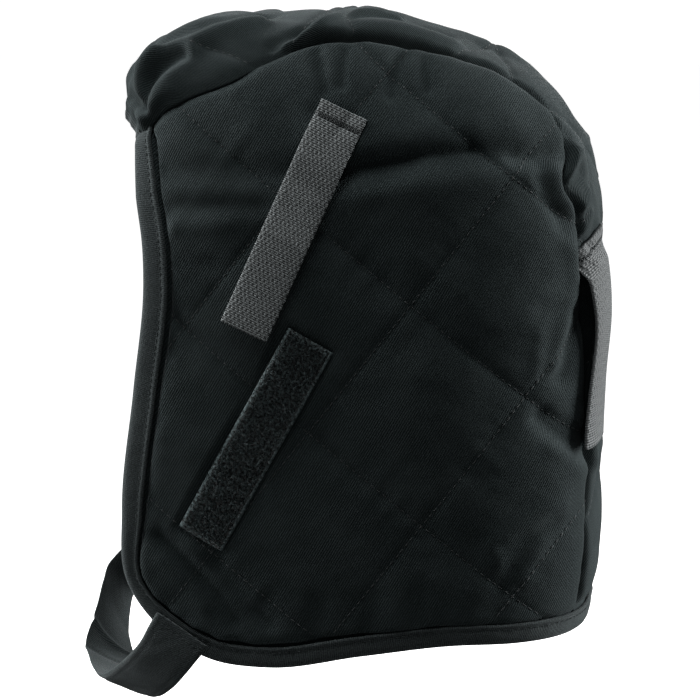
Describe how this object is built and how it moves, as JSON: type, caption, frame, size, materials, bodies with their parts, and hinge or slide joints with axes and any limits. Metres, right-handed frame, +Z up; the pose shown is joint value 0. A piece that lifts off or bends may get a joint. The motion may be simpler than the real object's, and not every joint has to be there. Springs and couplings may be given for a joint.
{
  "type": "winter hood liner",
  "caption": "Quilted cold-weather hood liner worn under a hard hat, with gathered brow, bound open face, chin strap loop, hook straps and loop patches.",
  "frame": {"origin": "top of the head hollow under the crown, where the hood sits on a head", "axes": "+Z up, the face opening toward -Y, the wearer's left toward +X"},
  "size_m": [0.1602, 0.2847, 0.3536],
  "materials": {
    "quilted_twill": "black cotton twill, quilted over soft padding",
    "binding_twill": "black folded twill tape, sewn",
    "strap_webbing": "grey woven hook tape, back of the weave outward",
    "loop_pile": "black brushed loop pile"
  },
  "bodies": {
    "root": {"side_panel_left": "quilted_twill", "side_panel_right": "quilted_twill", "crown_panel": "quilted_twill", "edge_binding": "binding_twill", "brow_band": "binding_twill", "chin_strap": "binding_twill", "hook_strap_left": "strap_webbing", "hook_strap_right": "strap_webbing", "hook_strap_back_left": "strap_webbing", "hook_strap_back_right": "strap_webbing", "loop_patch_left": "loop_pile", "loop_patch_right": "loop_pile"}
  },
  "joints": []
}
